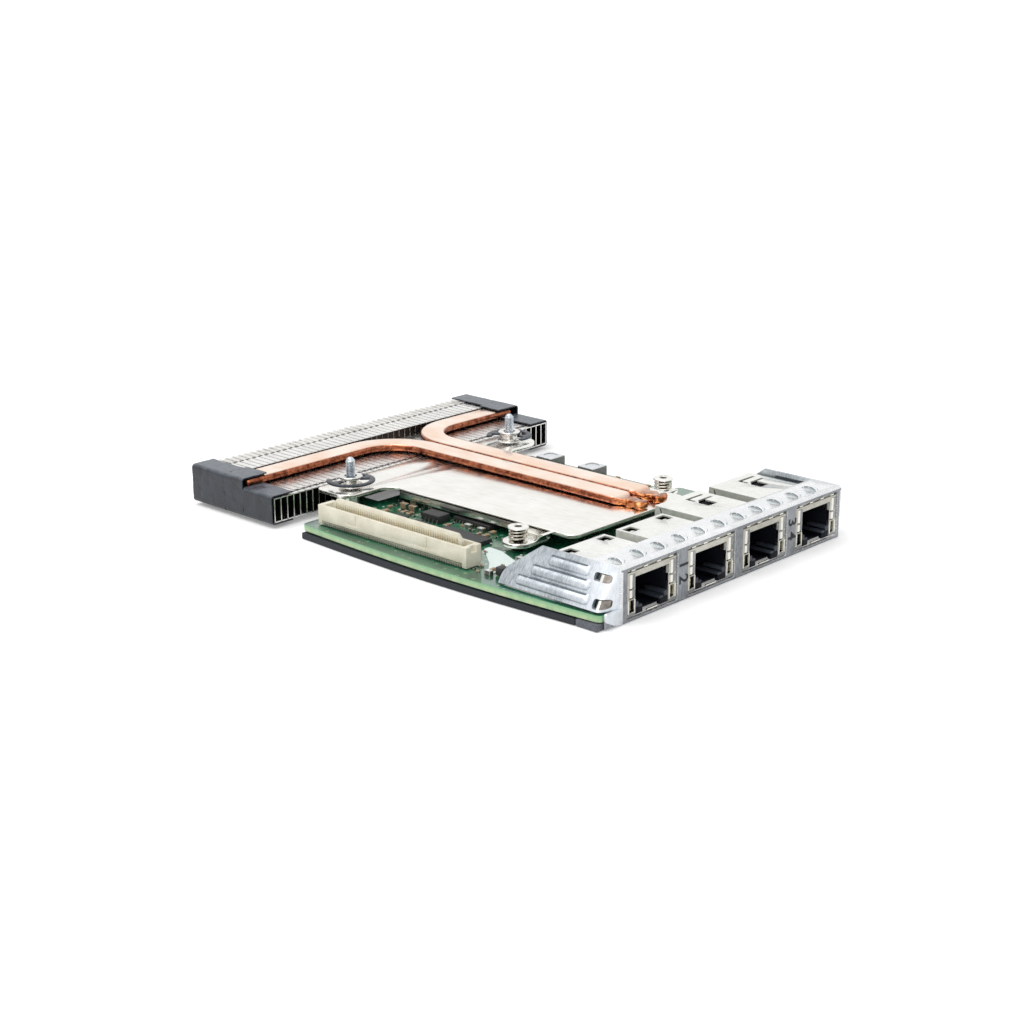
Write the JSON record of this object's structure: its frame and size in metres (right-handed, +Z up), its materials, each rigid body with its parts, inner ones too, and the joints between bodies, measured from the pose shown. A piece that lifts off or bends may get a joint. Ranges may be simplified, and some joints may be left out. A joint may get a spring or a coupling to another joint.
{
  "type": "ethernet adapter card",
  "caption": "Flat network card for a server with a row of cable sockets in a folded bracket, a raised board connector and a plate cooler with bent heat pipes and a folded fin stack.",
  "frame": {"origin": "centre of the bounding box's bottom, on the plane the card lies on", "axes": "+X along the row of sockets, left to right seen from the socket side; +Y from the sockets to the fin stack; +Z up, the way the board connector and the captive screws point"},
  "size_m": [0.1072, 0.1432, 0.0162],
  "materials": {
    "board_green": "glossy green solder mask over copper planes",
    "insulator_dark": "dark stiff insulating film, faintly textured",
    "foam_grey": "grey closed cell foam",
    "bracket_steel": "bright folded stainless sheet, lengthwise brushed",
    "shield_steel": "tin plated stamped sheet",
    "housing_black": "black moulded plastic",
    "contact_gold": "gold plated spring wire",
    "lamp_clear": "milky clear light guide",
    "connector_ivory": "ivory moulded high temperature plastic",
    "lead_tin": "tin plated solder leads",
    "plate_nickel": "satin nickel plated sheet",
    "pipe_copper": "bare bright copper, slightly tarnished",
    "fin_silver": "folded bright sheet",
    "tape_black": "dark slate adhesive tape",
    "screw_zinc": "blue zinc plated steel",
    "spring_steel": "bright spring wire",
    "sleeve_nickel": "nickel plated turned part",
    "clip_black": "blackened spring steel",
    "chip_black": "black moulded package",
    "pad_grey": "soft grey gap filler",
    "choke_grey": "pressed grey powder core",
    "capacitor_tan": "fired tan body with bright end caps"
  },
  "bodies": {
    "card": {"board_connector": "connector_ivory", "bottom_insulator": "insulator_dark", "captive_sleeve_left": "sleeve_nickel", "captive_sleeve_right": "sleeve_nickel", "chip_capacitor_1": "capacitor_tan", "chip_capacitor_2": "capacitor_tan", "chip_capacitor_3": "capacitor_tan", "choke_front": "choke_grey", "choke_rear": "choke_grey", "circuit_board": "board_green", "coil_spring_left": "spring_steel", "coil_spring_right": "spring_steel", "connector_leads_left": "lead_tin", "connector_leads_right": "lead_tin", "controller_pad": "pad_grey", "cooler_plate": "plate_nickel", "corner_block": "chip_black", "corner_foam": "foam_grey", "end_tape_left": "tape_black", "end_tape_right": "tape_black", "fin_stack": "fin_silver", "heat_pipe_left": "pipe_copper", "heat_pipe_right": "pipe_copper", "io_bracket": "bracket_steel", "jack_contacts_1": "contact_gold", "jack_contacts_2": "contact_gold", "jack_contacts_3": "contact_gold", "jack_contacts_4": "contact_gold", "jack_housing_1": "housing_black", "jack_housing_2": "housing_black", "jack_housing_3": "housing_black", "jack_housing_4": "housing_black", "jack_shield_1": "shield_steel", "jack_shield_2": "shield_steel", "jack_shield_3": "shield_steel", "jack_shield_4": "shield_steel", "light_pipe_1": "lamp_clear", "light_pipe_2": "lamp_clear", "light_pipe_3": "lamp_clear", "light_pipe_4": "lamp_clear", "line_driver_chip": "chip_black", "line_driver_pad": "pad_grey", "line_transformer": "chip_black", "network_controller": "chip_black", "regulator_chip": "chip_black", "retaining_clip_left": "clip_black", "retaining_clip_right": "clip_black", "spring_screw_left": "screw_zinc", "spring_screw_right": "screw_zinc", "standoff_post_left": "sleeve_nickel", "standoff_post_right": "sleeve_nickel"},
    "left_captive_screw": {"captive_screw_left": "screw_zinc"},
    "right_captive_screw": {"captive_screw_right": "screw_zinc"}
  },
  "joints": [
    {"name": "left_screw_turn", "type": "hinge", "parent": "card", "child": "left_captive_screw", "pos_m": [-0.03078, 0.0319, 0.008], "axis": [0, 0, 1], "continuous": true},
    {"name": "right_screw_turn", "type": "hinge", "parent": "card", "child": "right_captive_screw", "pos_m": [0.02973, 0.0319, 0.008], "axis": [0, 0, 1], "continuous": true}
  ]
}
